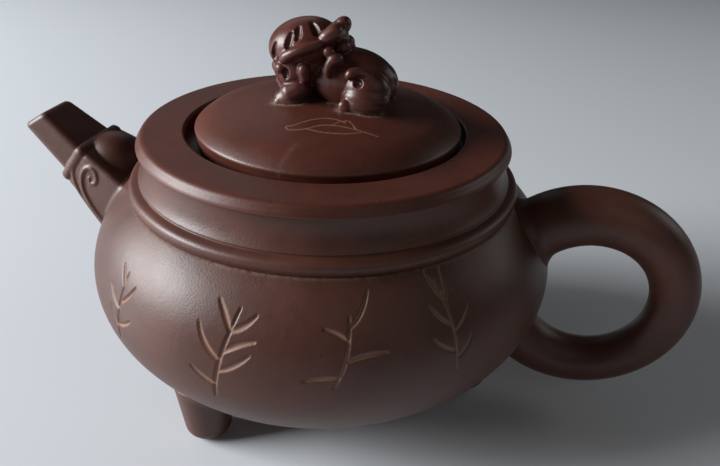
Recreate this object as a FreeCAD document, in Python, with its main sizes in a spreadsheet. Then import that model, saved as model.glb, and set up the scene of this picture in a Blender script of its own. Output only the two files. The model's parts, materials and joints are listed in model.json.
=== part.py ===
import FreeCAD, Part
import math
import os

import Sketcher

# A round-bellied Yixing clay teapot, in millimetres.
# The origin is on the pot's axis, at table height. +Z is up, +X points to the handle and -X to the
# spout. The pot is built as a potter builds it: slabs, rings and moulded pieces that are luted
# together with slip. The lid, with its lion finial, lifts off.

DIMENSIONS = [
    # the belly: two half ellipsoids that meet at the equator
    ("belly_radius", 55.0),
    ("equator_height", 36.2),
    ("belly_lower_depth", 33.2),
    ("belly_upper_rise", 31.6),
    ("cavity_radius", 52.0),
    ("cavity_lower_depth", 28.2),
    ("cavity_upper_rise", 27.5),
    # where the slabs of the belly meet
    ("base_height", 5.0),
    ("base_disc_radius", 26.0),
    ("shoulder_joint_height", 49.0),
    ("crease_height", 54.6),
    # neck and mouth
    ("neck_bore_radius", 38.4),
    ("bead_foot_radius", 44.7),
    ("bead_top_radius", 43.0),
    ("bead_top_height", 58.0),
    ("bead_curve_radius", 2.15),
    ("band_top_radius", 41.7),
    ("band_top_height", 65.3),
    ("band_curve_radius", 9.0),
    ("rim_lip_radius", 42.5),
    ("rim_ledge_radius", 41.0),
    ("rim_top_height", 68.0),
    ("rim_edge_radius", 1.75),
    ("mouth_radius", 32.0),
    ("seat_radius", 28.4),
    ("seat_height", 64.4),
    ("seat_underside", 61.4),
    # lid
    ("lid_offset", 0.7),
    ("lid_radius", 30.4),
    ("lid_edge_height", 68.8),
    ("lid_shoulder_radius", 29.8),
    ("lid_shoulder_height", 69.3),
    ("lid_edge_curve", 0.7),
    ("lid_crown_height", 74.8),
    ("lid_crown_flat", 3.0),
    ("lid_crown_curve", 72.0),
    ("lid_inner_height", 70.8),
    ("lid_inner_curve", 50.0),
    ("flange_outer_radius", 27.2),
    ("flange_inner_radius", 24.4),
    ("flange_bottom_height", 57.5),
    ("vent_radius", 1.2),
    ("vent_distance", 13.0),
    # spout: a flared block on the belly, then a flat tube with a slanted end
    ("block_angle", 36.1),
    ("block_front_x", 62.9),
    ("block_front_height", 54.1),
    ("block_length", 24.0),
    ("block_front_width", 17.4),
    ("block_front_thickness", 10.0),
    ("block_rear_width", 28.4),
    ("block_rear_thickness", 15.2),
    ("tube_angle", 40.6),
    ("tube_root_depth", 2.0),
    ("tube_length", 13.7),
    ("tube_root_width", 16.2),
    ("tube_root_thickness", 8.3),
    ("tube_end_width", 10.6),
    ("tube_end_thickness", 6.7),
    ("tube_end_slant", 17.0),
    ("tube_wall", 1.2),
    ("block_wall", 2.4),
    ("boss_radius", 8.0),
    ("boss_setback", 7.5),
    ("boss_lift", 4.0),
    ("scroll_radius", 3.2),
    ("scroll_coil_radius", 0.6),
    ("scroll_setback", 5.5),
    ("scroll_sweep", 300.0),
    ("strainer_radius", 8.0),
    ("strainer_wall", 1.4),
    ("strainer_setback", 16.4),
    ("strainer_hole_radius", 0.9),
    ("spout_hole_radius", 4.4),
    # handle: a ring whose section thins away from its upper root
    ("handle_x", 64.2),
    ("handle_height", 33.5),
    ("handle_ring_radius", 20.0),
    ("handle_section_radius", 6.25),
    ("handle_outer_thinning", 0.8),
    ("handle_top_swell", 0.52),
    ("handle_root_angle", 156.0),
    # feet
    ("foot_distance", 38.2),
    ("foot_pad_radius", 2.8),
    ("foot_waist_radius", 5.6),
    ("foot_waist_height", 3.6),
    ("foot_round_radius", 3.6),
    ("foot_top_radius", 7.6),
    ("foot_top_height", 18.0),
]

# The crouching lion finial, as plain masses. It faces the spout. A pair has one mass on each side.
# name: (pieces, centre x y z, radii x y z, lean about Y in degrees)
LION_MASSES = {
    "lion_body": ("one", (5.2, 0.0, 78.4), (11.2, 6.2, 7.0), 6.0),
    "lion_head": ("one", (-5.0, 0.0, 84.4), (8.2, 7.4, 8.2), 0.0),
    "lion_mane": ("one", (-3.4, 0.0, 86.0), (6.2, 8.3, 6.6), 0.0),
    "lion_ears": ("pair", (2.4, 3.6, 89.2), (2.3, 1.9, 3.5), 20.0),
    "lion_forelegs": ("pair", (-7.8, 4.3, 76.4), (4.0, 3.1, 6.2), 0.0),
    "lion_hindlegs": ("pair", (9.4, 5.6, 77.0), (6.4, 3.4, 5.6), 0.0),
    "lion_tail": ("one", (14.0, 0.0, 79.6), (2.4, 3.0, 4.8), 0.0),
}

for mass, (_, centre, radii, lean) in LION_MASSES.items():
    DIMENSIONS += [(f"{mass}_{axis}", number) for axis, number in zip("xyz", centre)]
    DIMENSIONS += [(f"{mass}_radius_{axis}", number) for axis, number in zip("xyz", radii)]
    DIMENSIONS.append((f"{mass}_lean", lean))

doc = FreeCAD.newDocument("yixing_teapot")
sheet = doc.addObject("Spreadsheet::Sheet", "dims")
for row, (alias, number) in enumerate(DIMENSIONS, start=1):
    sheet.set(f"A{row}", alias)
    sheet.set(f"B{row}", str(number))
    sheet.setAlias(f"B{row}", alias)
doc.recompute()

# A plain slab that reaches past everything, for cutting at a plane
REACH = 200.0

SPOUT_SIDE = -1
HANDLE_STATIONS = 13
FOOT_AZIMUTHS = {"foot_handle_side": 0.0, "foot_spout_left": 120.0, "foot_spout_right": 240.0}
STRAINER_RINGS = ((0.0, 1), (28.0, 6), (56.0, 10))


def value(expression):
    """The number that an expression in the sheet's names gives now."""
    result = sheet.evalExpression(expression)
    return float(getattr(result, "Value", result))


def bound(expression):
    """The same expression with each of the sheet's names written as the sheet's cell."""
    words = expression.replace("(", " ( ").replace(")", " ) ").split(" ")
    names = {alias for alias, _ in DIMENSIONS}
    return " ".join(f"dims.{word}" if word in names else word for word in words if word)


def bind(item, prop, expression):
    item.setExpression(prop, bound(expression))


def place(item, x=0.0, y=0.0, z=0.0, axis=(0, 0, 1), angle=0.0):
    """Put an object at a point, turned about an axis by an angle in degrees."""
    turn = FreeCAD.Rotation(FreeCAD.Vector(*axis), angle)
    item.Placement = FreeCAD.Placement(FreeCAD.Vector(x, y, z), turn)


def primitive(kind, name, **sizes):
    """A Part primitive whose sizes are bound to expressions in the sheet's names."""
    item = doc.addObject(f"Part::{kind}", name)
    for prop, expression in sizes.items():
        if isinstance(expression, str):
            bind(item, prop, expression)
        else:
            setattr(item, prop, expression)
    return item


def combine(kind, name, base, tool):
    """A Part::Cut, Part::Common or Part::Fuse of two objects."""
    item = doc.addObject(f"Part::{kind}", name)
    item.Base, item.Tool = base, tool
    return item


def group(kind, name, members):
    """A Part::MultiFuse or Part::Compound of several objects."""
    item = doc.addObject(f"Part::{kind}", name)
    setattr(item, "Links" if kind == "Compound" else "Shapes", members)
    return item


def plane_of(body, role):
    """One of a body's own origin planes or axes."""
    return next(f for f in body.Origin.OriginFeatures if f.Role == role)


def sketch_on(body, name, role):
    sketch = body.newObject("Sketcher::SketchObject", name)
    sketch.AttachmentSupport = (plane_of(body, role), [""])
    sketch.MapMode = "FlatFace"
    return sketch


def arc_top(start, end, radius, side):
    """The middle of the shorter arc from start to end. side is +1 where it bulges to the left."""
    chord = end - start
    left = FreeCAD.Vector(-chord.y, chord.x, 0).normalize()
    to_centre = math.sqrt(radius ** 2 - (chord.Length / 2) ** 2)
    return (start + end) * 0.5 + left * side * (radius - to_centre)


def draw_profile(sketch, corners, arcs):
    """A closed outline. Each corner is a pair of expressions, held by distances from the origin.

    A corner with "0" lies on that axis. arcs gives, for the edge that leaves a corner, its radius
    expression and its side.
    """
    points = [FreeCAD.Vector(value(r), value(z), 0) for r, z in corners]
    for i, start in enumerate(points):
        end = points[(i + 1) % len(points)]
        if i in arcs:
            radius, side = arcs[i]
            top = arc_top(start, end, value(radius), side)
            sketch.addGeometry(Part.Arc(start, top, end), False)
        else:
            sketch.addGeometry(Part.LineSegment(start, end), False)

    def vertex_of(edge, corner):
        """The vertex number of an edge that lies at a corner: arcs may run either way."""
        near = [k for k in (1, 2) if sketch.getPoint(edge, k).isEqual(points[corner], 1e-4)]
        return near[0]

    count = len(points)
    for i in range(count):
        after = (i + 1) % count
        sketch.addConstraint(Sketcher.Constraint(
            "Coincident", i, vertex_of(i, after), after, vertex_of(after, after)))
    horizontal_axis, vertical_axis = -1, -2
    for i, corner in enumerate(corners):
        vertex = vertex_of(i, i)
        kinds = (("DistanceX", vertical_axis), ("DistanceY", horizontal_axis))
        for (kind, axis), expression, number in zip(kinds, corner, points[i]):
            if expression == "0":
                sketch.addConstraint(Sketcher.Constraint("PointOnObject", i, vertex, axis))
                continue
            index = sketch.addConstraint(Sketcher.Constraint(kind, -1, 1, i, vertex, number))
            bind(sketch, f"Constraints[{index}]", expression)
    for i, (radius, _) in arcs.items():
        index = sketch.addConstraint(Sketcher.Constraint("Radius", i, value(radius)))
        bind(sketch, f"Constraints[{index}]", radius)


def revolved(name, corners, arcs):
    """A ring or disc turned about the body's own Z axis, from an outline of radii and heights."""
    body = doc.addObject("PartDesign::Body", name)
    sketch = sketch_on(body, f"{name}_outline", "XZ_Plane")
    draw_profile(sketch, corners, arcs)
    turn = body.newObject("PartDesign::Revolution", f"{name}_turn")
    turn.Profile = sketch
    turn.ReferenceAxis = (sketch, ["V_Axis"])
    turn.Angle = 360.0
    sketch.Visibility = False
    return body


def draw_rectangle(sketch, thickness, width):
    """A rectangle centred on the origin: thickness along the sketch's X, width along its Y."""
    across, along = value(thickness) / 2, value(width) / 2
    corners = [FreeCAD.Vector(sx * across, sy * along, 0)
               for sx, sy in ((-1, -1), (1, -1), (1, 1), (-1, 1))]
    for i in range(4):
        sketch.addGeometry(Part.LineSegment(corners[i], corners[(i + 1) % 4]), False)
    for i in range(4):
        sketch.addConstraint(Sketcher.Constraint("Coincident", i, 2, (i + 1) % 4, 1))
    for i, kind in enumerate(("Horizontal", "Vertical", "Horizontal", "Vertical")):
        sketch.addConstraint(Sketcher.Constraint(kind, i))
    sketch.addConstraint(Sketcher.Constraint("Symmetric", 0, 1, 2, 1, -1, 1))
    for kind, expression in (("DistanceX", thickness), ("DistanceY", width)):
        edge = 0 if kind == "DistanceX" else 1
        number = value(expression)
        index = sketch.addConstraint(Sketcher.Constraint(kind, edge, 1, edge, 2, number))
        bind(sketch, f"Constraints[{index}]", expression)


def tapered_bar(name, stations):
    """A loft through rectangles. Each station is (distance along Z, thickness, width)."""
    body = doc.addObject("PartDesign::Body", name)
    sketches = []
    for i, (distance, thickness, width) in enumerate(stations):
        sketch = sketch_on(body, f"{name}_section_{i}", "XY_Plane")
        bind(sketch, "AttachmentOffset.Base.z", distance)
        draw_rectangle(sketch, thickness, width)
        sketches.append(sketch)
    doc.recompute()
    loft = body.newObject("PartDesign::AdditiveLoft", f"{name}_loft")
    loft.Profile = sketches[0]
    loft.Sections = sketches[1:]
    loft.Ruled = True
    for sketch in sketches:
        sketch.Visibility = False
    return body


def point_along_spout(x, height, angle, distance):
    """A point on the spout's line: x and height are its start, distance is measured inwards."""
    slope = math.radians(angle)
    return (SPOUT_SIDE * (x - distance * math.cos(slope)), 0.0, height - distance * math.sin(slope))


def along_spout(item, angle, distance=0.0):
    """Turn an object so that its Z runs out along the spout and its X points to the upper side."""
    start = point_along_spout(value("block_front_x"), value("block_front_height"), angle, distance)
    place(item, *start, axis=(0, 1, 0), angle=angle - 90.0)


# Belly ------------------------------------------------------------------------------------------


def egg(name, radius, lower_depth, upper_rise):
    """A solid of two half ellipsoids that share their equator."""
    halves = []
    for half, depth, low, high in (("lower", lower_depth, -90, 0), ("upper", upper_rise, 0, 90)):
        item = primitive("Ellipsoid", f"{name}_{half}", Radius1=depth, Radius2=radius,
                         Radius3=radius, Angle1=float(low), Angle2=float(high))
        bind(item, "Placement.Base.z", "equator_height")
        halves.append(item)
    return combine("Fuse", name, *halves)


def zone(name, radius, bottom, top):
    """A cylinder between two heights, for taking a piece out of the shell."""
    item = primitive("Cylinder", name, Radius=radius, Height=f"{top} - {bottom}")
    bind(item, "Placement.Base.z", bottom)
    return item


belly_outer = egg("belly_outer", "belly_radius", "belly_lower_depth", "belly_upper_rise")
belly_cavity = egg("belly_cavity", "cavity_radius", "cavity_lower_depth", "cavity_upper_rise")
shell = combine("Cut", "shell", belly_outer, belly_cavity)


def make_belly(spout_hole):
    base_zone = zone("base_zone", "base_disc_radius", "base_height", "equator_height")
    wall_zone = zone("wall_zone", "belly_radius + 5", "base_height", "shoulder_joint_height")
    shoulder_zone = zone("shoulder_zone", "belly_radius + 5", "shoulder_joint_height",
                         "crease_height")
    base_disc = combine("Common", "base_disc", shell, base_zone)
    band = combine("Common", "wall_band", shell, wall_zone)
    open_band = combine("Cut", "wall_open_band", band, base_zone)
    body_wall = combine("Cut", "body_wall", open_band, spout_hole)
    shoulder_disc = combine("Common", "shoulder_disc", shell, shoulder_zone)
    return [base_disc, body_wall, shoulder_disc]


# Neck and mouth ---------------------------------------------------------------------------------


def make_neck():
    bead = revolved("neck_bead", [
        ("neck_bore_radius", "crease_height"), ("bead_foot_radius", "crease_height"),
        ("bead_top_radius", "bead_top_height"), ("neck_bore_radius", "bead_top_height"),
    ], {1: ("bead_curve_radius", -1)})
    band = revolved("neck_band", [
        ("neck_bore_radius", "bead_top_height"), ("bead_top_radius", "bead_top_height"),
        ("band_top_radius", "band_top_height"), ("neck_bore_radius", "band_top_height"),
    ], {1: ("band_curve_radius", 1)})
    rim = revolved("rim_ring", [
        ("mouth_radius", "band_top_height"), ("rim_lip_radius", "band_top_height"),
        ("rim_ledge_radius", "rim_top_height"), ("mouth_radius", "rim_top_height"),
    ], {1: ("rim_edge_radius", -1)})
    seat = revolved("mouth_seat", [
        ("seat_radius", "seat_underside"), ("neck_bore_radius", "seat_underside"),
        ("neck_bore_radius", "band_top_height"), ("mouth_radius", "band_top_height"),
        ("mouth_radius", "seat_height"), ("seat_radius", "seat_height"),
    ], {})
    return [bead, band, rim, seat]


# Spout ------------------------------------------------------------------------------------------


def make_spout():
    """The spout's pieces and the hole that joins its channel to the cavity."""
    block = tapered_bar("spout_block", [
        ("0", "block_front_thickness", "block_front_width"),
        ("0 - block_length", "block_rear_thickness", "block_rear_width"),
    ])
    block_channel = tapered_bar("spout_block_channel", [
        ("1", "block_front_thickness - 2 * block_wall", "block_front_width - 2 * block_wall"),
        ("0 - block_length", "block_rear_thickness - 2 * block_wall",
         "block_rear_width - 2 * block_wall"),
    ])
    along_spout(block, value("block_angle"))
    along_spout(block_channel, value("block_angle"))

    tube = tapered_bar("spout_tube", [
        ("0 - tube_root_depth", "tube_root_thickness", "tube_root_width"),
        ("tube_length + 3", "tube_end_thickness", "tube_end_width"),
    ])
    tube_channel = tapered_bar("spout_tube_channel", [
        ("0 - 2 * tube_root_depth", "tube_root_thickness - 2 * tube_wall",
         "tube_root_width - 2 * tube_wall"),
        ("tube_length + 4", "tube_end_thickness - 2 * tube_wall", "tube_end_width - 2 * tube_wall"),
    ])
    along_spout(tube, value("tube_angle"))
    along_spout(tube_channel, value("tube_angle"))

    # the tube's end leans back, so the pouring lip is its lowest corner
    end_cut = primitive("Box", "spout_end_cut", Length=REACH, Width=REACH, Height=REACH)
    lean = value("tube_angle") + value("tube_end_slant")
    end_x, _, end_z = point_along_spout(value("block_front_x"), value("block_front_height"),
                                        value("tube_angle"), -value("tube_length"))
    turn = FreeCAD.Rotation(FreeCAD.Vector(0, 1, 0), lean - 90.0)
    corner = turn.multVec(FreeCAD.Vector(-REACH / 2, -REACH / 2, 0))
    end_cut.Placement = FreeCAD.Placement(FreeCAD.Vector(end_x, 0, end_z) + corner, turn)

    solid_block = combine("Cut", "spout_block_on_belly", block, belly_outer)
    hollow_block = combine("Cut", "spout_block_hollow", solid_block, block_channel)
    spout_base = combine("Cut", "spout_base", hollow_block, tube_channel)
    trimmed_tube = combine("Cut", "spout_tube_trimmed", tube, end_cut)
    seated_tube = combine("Cut", "spout_tube_seated", trimmed_tube, block)
    spout_tip = combine("Cut", "spout_tip", seated_tube, tube_channel)

    # the round boss on the block's upper face
    boss_ball = primitive("Sphere", "spout_boss_ball", Radius="boss_radius")
    x, y, z = point_along_spout(value("block_front_x"), value("block_front_height"),
                                value("block_angle"), value("boss_setback"))
    slope = math.radians(value("block_angle"))
    lift = value("boss_lift")
    place(boss_ball, x - SPOUT_SIDE * lift * math.sin(slope), y, z + lift * math.cos(slope))
    boss_on_block = combine("Cut", "spout_boss_on_block", boss_ball, block)
    boss_behind_tube = combine("Cut", "spout_boss_behind_tube", boss_on_block, tube)
    boss = combine("Cut", "spout_boss", boss_behind_tube, belly_outer)

    scrolls = [make_scroll(name, side, block)
               for name, side in (("spout_scroll_left", 1), ("spout_scroll_right", -1))]

    hole = primitive("Cylinder", "spout_hole", Radius="spout_hole_radius",
                     Height="block_length")
    along_spout(hole, value("block_angle"), value("block_length"))
    return [spout_base, spout_tip, boss] + scrolls, hole


def make_scroll(name, side, block):
    """A coil of clay laid as a volute on one side of the block, half sunk into it."""
    setback = value("scroll_setback")
    flare = (value("block_rear_width") - value("block_front_width")) / 2 / value("block_length")
    half_width = value("block_front_width") / 2 + flare * setback
    ring = primitive("Torus", f"{name}_ring", Radius1="scroll_radius",
                     Radius2="scroll_coil_radius", Angle3="scroll_sweep")
    tail = primitive("Cylinder", f"{name}_tail", Radius="scroll_coil_radius",
                     Height="scroll_radius * 2.6")
    frame = FreeCAD.Placement(
        FreeCAD.Vector(*point_along_spout(value("block_front_x"), value("block_front_height"),
                                          value("block_angle"), 0.0)),
        FreeCAD.Rotation(FreeCAD.Vector(0, 1, 0), value("block_angle") - 90.0))
    # the coil's own frame: its Z is the side's outward normal
    tilt = 90.0 - math.degrees(math.atan(flare))
    facing = FreeCAD.Rotation(FreeCAD.Vector(1, 0, 0), -side * tilt)
    seat = frame.multiply(FreeCAD.Placement(FreeCAD.Vector(0, side * half_width, -setback), facing))
    # both coils open at the rear, so the two sides mirror each other
    start = 180.0 if side > 0 else 180.0 - value("scroll_sweep")
    ring.Placement = seat.multiply(FreeCAD.Placement(
        FreeCAD.Vector(0, 0, 0), FreeCAD.Rotation(FreeCAD.Vector(0, 0, 1), start)))
    along_side = FreeCAD.Rotation(FreeCAD.Vector(1, 0, 0), -90.0 * side)
    tail.Placement = seat.multiply(
        FreeCAD.Placement(FreeCAD.Vector(-value("scroll_radius"), 0, 0), along_side))
    coil = combine("Fuse", f"{name}_coil", ring, tail)
    seated = combine("Cut", f"{name}_seated", coil, block)
    return combine("Cut", name, seated, belly_outer)


def make_strainer():
    """A pierced half ball on the cavity's wall, behind the spout's hole."""
    outer = primitive("Sphere", "strainer_outer", Radius="strainer_radius")
    inner = primitive("Sphere", "strainer_inner", Radius="strainer_radius - strainer_wall")
    centre = point_along_spout(value("block_front_x"), value("block_front_height"),
                               value("block_angle"), value("strainer_setback"))
    place(outer, *centre)
    place(inner, *centre)
    ball = combine("Cut", "strainer_ball", outer, inner)
    half_ball = combine("Common", "strainer_half_ball", ball, belly_cavity)

    # each hole points away from the ball's centre; a ring of holes shares one tilt
    inward = FreeCAD.Rotation(FreeCAD.Vector(0, 1, 0), value("block_angle") + 90.0)
    holes = []
    for tilt, count in STRAINER_RINGS:
        for i in range(count):
            hole = primitive("Cylinder", "strainer_hole", Radius="strainer_hole_radius",
                             Height="strainer_radius * 1.3")
            spin = FreeCAD.Rotation(FreeCAD.Vector(0, 0, 1), 360.0 * i / count)
            lean = FreeCAD.Rotation(FreeCAD.Vector(0, 1, 0), tilt)
            turn = inward.multiply(spin).multiply(lean)
            hole.Placement = FreeCAD.Placement(FreeCAD.Vector(*centre), turn)
            holes.append(hole)
    drill = group("MultiFuse", "strainer_drill", holes)
    return combine("Cut", "strainer", half_ball, drill)


# Handle and feet --------------------------------------------------------------------------------


def make_handle():
    """The handle and the whole ring it is cut from: round sections, thickest at the upper root."""
    reach = value("handle_root_angle")
    sections = []
    for i in range(HANDLE_STATIONS):
        angle = -reach + 2 * reach * i / (HANDLE_STATIONS - 1)
        turn = math.radians(angle)
        size = (f"handle_section_radius - handle_outer_thinning * {math.cos(turn)}"
                f" + handle_top_swell * {math.sin(turn)}")
        section = primitive("Circle", "handle_section", Radius=size)
        radius = value("handle_ring_radius")
        place(section, value("handle_x") + radius * math.cos(turn), 0.0,
              value("handle_height") + radius * math.sin(turn), axis=(0, 1, 0), angle=-angle)
        sections.append(section)
    ring = doc.addObject("Part::Loft", "handle_ring")
    ring.Sections = sections
    ring.Solid = True
    return combine("Cut", "handle", ring, belly_outer), ring


def make_foot(name, azimuth, handle_ring):
    """A short rounded stub with a flat pad, cut to the belly above it and clear of the handle."""
    stub = revolved(f"{name}_stub", [
        ("0", "0"), ("foot_pad_radius", "0"),
        ("foot_waist_radius", "foot_waist_height"), ("foot_top_radius", "foot_top_height"),
        ("0", "foot_top_height"),
    ], {1: ("foot_round_radius", -1)})
    turn = math.radians(azimuth)
    distance = value("foot_distance")
    place(stub, distance * math.cos(turn), distance * math.sin(turn), 0.0)
    under_belly = combine("Cut", f"{name}_under_belly", stub, belly_outer)
    return combine("Cut", name, under_belly, handle_ring)


# Lid --------------------------------------------------------------------------------------------


def make_lid():
    """The domed lid and its locating collar, and the solid that the finial stands on."""
    crown = revolved("lid_crown", [
        ("0", "lid_inner_height"), ("flange_inner_radius", "seat_height"),
        ("lid_radius", "seat_height"), ("lid_radius", "lid_edge_height"),
        ("lid_shoulder_radius", "lid_shoulder_height"), ("lid_crown_flat", "lid_crown_height"),
        ("0", "lid_crown_height"),
    ], {0: ("lid_inner_curve", 1), 3: ("lid_edge_curve", -1), 4: ("lid_crown_curve", -1)})
    stand = revolved("lid_stand", [
        ("0", "seat_height"), ("lid_radius", "seat_height"), ("lid_radius", "lid_edge_height"),
        ("lid_shoulder_radius", "lid_shoulder_height"), ("lid_crown_flat", "lid_crown_height"),
        ("0", "lid_crown_height"),
    ], {2: ("lid_edge_curve", -1), 3: ("lid_crown_curve", -1)})
    flange = revolved("lid_flange", [
        ("flange_inner_radius", "flange_bottom_height"),
        ("flange_outer_radius", "flange_bottom_height"),
        ("flange_outer_radius", "seat_height"), ("flange_inner_radius", "seat_height"),
    ], {})
    vent = primitive("Cylinder", "lid_vent", Radius="vent_radius", Height="lid_crown_height")
    for item in (crown, stand, flange):
        place(item, value("lid_offset"))
    place(vent, value("lid_offset"), value("vent_distance"))
    dome = combine("Cut", "lid_dome", crown, vent)
    return [dome, flange], stand


def rounded(name, mass, side):
    """One of the lion's masses, an ellipsoid leaned about Y, on one side of the lion."""
    item = primitive("Ellipsoid", name, Radius1=f"{mass}_radius_z", Radius2=f"{mass}_radius_x",
                     Radius3=f"{mass}_radius_y", Angle1=-90.0, Angle2=90.0)
    place(item, axis=(0, 1, 0), angle=value(f"{mass}_lean"))
    for axis, sign in (("x", 1), ("y", side), ("z", 1)):
        bind(item, f"Placement.Base.{axis}", f"{sign} * {mass}_{axis}")
    return item


def make_lion(stand):
    """The lion's masses. Each is cut to the lid's crown and to the masses before it."""
    raw = []
    for mass, (kind, *_) in LION_MASSES.items():
        if kind == "pair":
            sides = [rounded(f"{mass}_{name}", mass, sign)
                     for name, sign in (("left", 1), ("right", -1))]
            raw.append(group("Compound", f"{mass}_pair", sides))
        else:
            raw.append(rounded(f"{mass}_mass", mass, 1))

    pieces = []
    for i, mass in enumerate(LION_MASSES):
        trimmed = raw[i]
        for tool in raw[:i]:
            trimmed = combine("Cut", f"{mass}_trim", trimmed, tool)
        pieces.append(combine("Cut", mass, trimmed, stand))
    return pieces


# Assembly ---------------------------------------------------------------------------------------

spout_pieces, spout_hole = make_spout()
lid_pieces, lid_stand = make_lid()
handle, handle_ring = make_handle()
sub_parts = make_belly(spout_hole) + make_neck() + spout_pieces + [make_strainer(), handle]
sub_parts += [make_foot(name, azimuth, handle_ring) for name, azimuth in FOOT_AZIMUTHS.items()]
sub_parts += lid_pieces + make_lion(lid_stand)
doc.recompute()

for item in doc.Objects:
    bad = {"Invalid", "Error"} & set(item.State)
    if bad:
        raise RuntimeError(f"{item.Name} is {sorted(bad)}: {item.getStatusString()}")

os.makedirs("parts", exist_ok=True)
for item in sub_parts:
    shape = item.Shape
    if shape.isNull() or not shape.isValid():
        raise RuntimeError(f"{item.Label} has no valid shape")
    shape.exportStep(f"parts/{item.Label}.step")
    print(f"{item.Label}: {len(shape.Solids)} solids, {shape.Volume:.1f} mm3")
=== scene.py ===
import json
import math

import bpy
import numpy as np
from mathutils import Matrix, Vector
from mathutils.kdtree import KDTree

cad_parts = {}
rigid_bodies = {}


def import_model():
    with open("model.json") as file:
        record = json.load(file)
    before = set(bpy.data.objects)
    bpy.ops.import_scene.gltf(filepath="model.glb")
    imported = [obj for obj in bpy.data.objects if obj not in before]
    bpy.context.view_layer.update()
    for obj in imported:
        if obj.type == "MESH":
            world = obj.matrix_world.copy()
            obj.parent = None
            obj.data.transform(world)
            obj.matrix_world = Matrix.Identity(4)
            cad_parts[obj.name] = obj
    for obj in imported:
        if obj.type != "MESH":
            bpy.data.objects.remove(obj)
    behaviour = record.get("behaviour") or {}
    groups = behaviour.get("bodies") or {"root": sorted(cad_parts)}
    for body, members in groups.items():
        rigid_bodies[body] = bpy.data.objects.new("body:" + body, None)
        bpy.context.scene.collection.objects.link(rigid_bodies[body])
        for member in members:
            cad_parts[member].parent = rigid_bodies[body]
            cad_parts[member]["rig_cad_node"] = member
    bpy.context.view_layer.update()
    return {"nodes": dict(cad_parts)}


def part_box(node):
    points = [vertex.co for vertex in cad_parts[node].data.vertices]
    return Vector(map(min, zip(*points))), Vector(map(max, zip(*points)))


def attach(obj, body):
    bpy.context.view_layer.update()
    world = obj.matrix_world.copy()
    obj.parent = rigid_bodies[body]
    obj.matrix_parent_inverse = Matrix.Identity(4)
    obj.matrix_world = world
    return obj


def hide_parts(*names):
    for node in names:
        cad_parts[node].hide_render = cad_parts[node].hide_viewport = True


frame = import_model()

# A Yixing clay teapot. Lengths in this script are millimetres and angles are degrees; meshes are
# scaled to metres as they are made. The origin is on the pot's axis at table height, +X points to
# the handle and -X to the spout, and the front with the incised sprigs faces -Y.
MM = 0.001


def box(node):
    """A CAD node's lowest and highest corner, in millimetres."""
    low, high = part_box(node)
    return np.array(low) / MM, np.array(high) / MM


def top(node):
    """A CAD node's highest point."""
    return box(node)[1][2]


def bottom(node):
    """A CAD node's lowest point."""
    return box(node)[0][2]


def half_width(node):
    """Half a CAD node's size along Y."""
    low, high = box(node)
    return (high[1] - low[1]) / 2


# Heights and radii that the frame's boxes give
BELLY_RADIUS = half_width("body_wall")
BASE = bottom("base_disc")
CREASE = top("shoulder_disc")
BEAD_TOP = top("neck_bead")
BAND_TOP = top("neck_band")
RIM_TOP = top("rim_ring")
SEAT = bottom("lid_dome")
SEAT_UNDERSIDE = bottom("mouth_seat")
LID_RADIUS = half_width("lid_dome")
LID_CENTRE = np.array([(box("lid_dome")[0][0] + box("lid_dome")[1][0]) / 2, 0.0])
LID_TOP = top("lid_dome")

# The belly is half an ellipsoid above its widest height and another below it, in and out
EQUATOR = 36.2
LOWER_DEPTH = 33.2
UPPER_RISE = 31.6
WALL = 3.0
CAVITY_LOWER_DEPTH = 28.2
CAVITY_UPPER_RISE = 27.5

# Radii of the turned parts, and the two drilled holes
NECK_BORE = 38.4
BEAD_TOP_RADIUS = 43.0
BAND_TOP_RADIUS = 41.7
MOUTH = 32.0
SEAT_RADIUS = 28.4
SPOUT_HOLE_RADIUS = 4.4
VENT_RADIUS = 1.2
VENT = (LID_CENTRE[0], 13.0)


# Curves and outlines ----------------------------------------------------------------------------


def resampled(points, step):
    """A polyline with evenly spaced points."""
    points = np.asarray(points, float)
    lengths = np.r_[0, np.cumsum(np.linalg.norm(np.diff(points, axis=0), axis=1))]
    count = max(2, int(round(lengths[-1] / step)) + 1)
    at = np.linspace(0, lengths[-1], count)
    return np.stack([np.interp(at, lengths, column) for column in points.T], axis=1)


def spline(points, step):
    """A smooth curve through points (Catmull-Rom), with evenly spaced points."""
    points = np.asarray(points, float)
    ends = np.vstack([2 * points[0] - points[1], points, 2 * points[-1] - points[-2]])
    t = np.linspace(0, 1, 17)[:-1, None]
    pieces = []
    for a, b, c, d in zip(ends, ends[1:], ends[2:], ends[3:]):
        pieces.append(0.5 * (2 * b + (c - a) * t + (2 * a - 5 * b + 4 * c - d) * t ** 2
                             + (3 * b - a - 3 * c + d) * t ** 3))
    return resampled(np.vstack(pieces + [points[-1:]]), step)


def ellipse_arc(radius, rise, centre, low, high, count=60):
    """Points (radius, height) of an ellipse between two heights."""
    start, end = (math.asin(np.clip((z - centre) / rise, -1, 1)) for z in (low, high))
    turn = np.linspace(start, end, count)
    return np.stack([radius * np.cos(turn), centre + rise * np.sin(turn)], axis=1)


def bulged(start, end, sag, count=12):
    """Points from start to end on a shallow curve that stands sag to the right of the line."""
    start, end = np.array(start, float), np.array(end, float)
    t = np.linspace(0, 1, count)[:, None]
    along = (end - start) / np.linalg.norm(end - start)
    right = np.array([along[1], -along[0]])
    return start + (end - start) * t + right * sag * 4 * t * (1 - t)


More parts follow.
